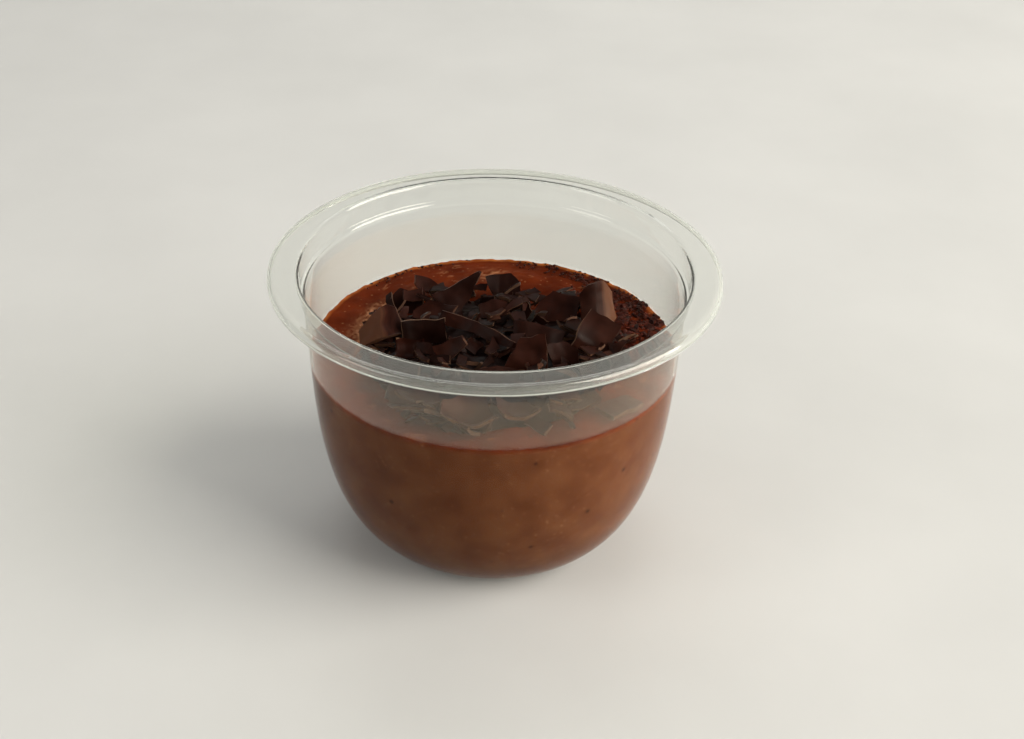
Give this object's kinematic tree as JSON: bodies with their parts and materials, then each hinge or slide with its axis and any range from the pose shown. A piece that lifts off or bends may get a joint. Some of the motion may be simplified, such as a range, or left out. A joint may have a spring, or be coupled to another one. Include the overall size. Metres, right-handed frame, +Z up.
{
  "type": "chocolate mousse in a clear dessert cup",
  "caption": "Portion of chocolate mousse in a clear round-bottomed plastic cup with a flanged rim, topped with a heap of dark chocolate shavings.",
  "frame": {"origin": "centre of the foot, on the surface that the cup stands on", "axes": "+Z up along the cup's axis; -Y is the side that the large shavings face"},
  "size_m": [0.095, 0.095, 0.0655],
  "materials": {
    "clear_plastic": "clear thermoformed plastic sheet, glossy, faintly milky",
    "chocolate_mousse": "aerated chocolate mousse, moist and matt",
    "dark_chocolate": "dark chocolate shaved with a blade, satin"
  },
  "bodies": {
    "root": {"cup": "clear_plastic", "mousse": "chocolate_mousse", "shavings_heap": "dark_chocolate", "shaving_01": "dark_chocolate", "shaving_02": "dark_chocolate", "shaving_03": "dark_chocolate", "shaving_04": "dark_chocolate", "shaving_05": "dark_chocolate", "shaving_06": "dark_chocolate", "shaving_07": "dark_chocolate", "shaving_08": "dark_chocolate", "shaving_09": "dark_chocolate", "shaving_10": "dark_chocolate", "shaving_11": "dark_chocolate", "shaving_12": "dark_chocolate", "shaving_13": "dark_chocolate", "shaving_14": "dark_chocolate", "shaving_15": "dark_chocolate", "shaving_16": "dark_chocolate", "shaving_17": "dark_chocolate", "shaving_18": "dark_chocolate", "shaving_19": "dark_chocolate", "shaving_20": "dark_chocolate", "shaving_21": "dark_chocolate", "shaving_22": "dark_chocolate", "shaving_23": "dark_chocolate", "shaving_24": "dark_chocolate"}
  },
  "joints": []
}
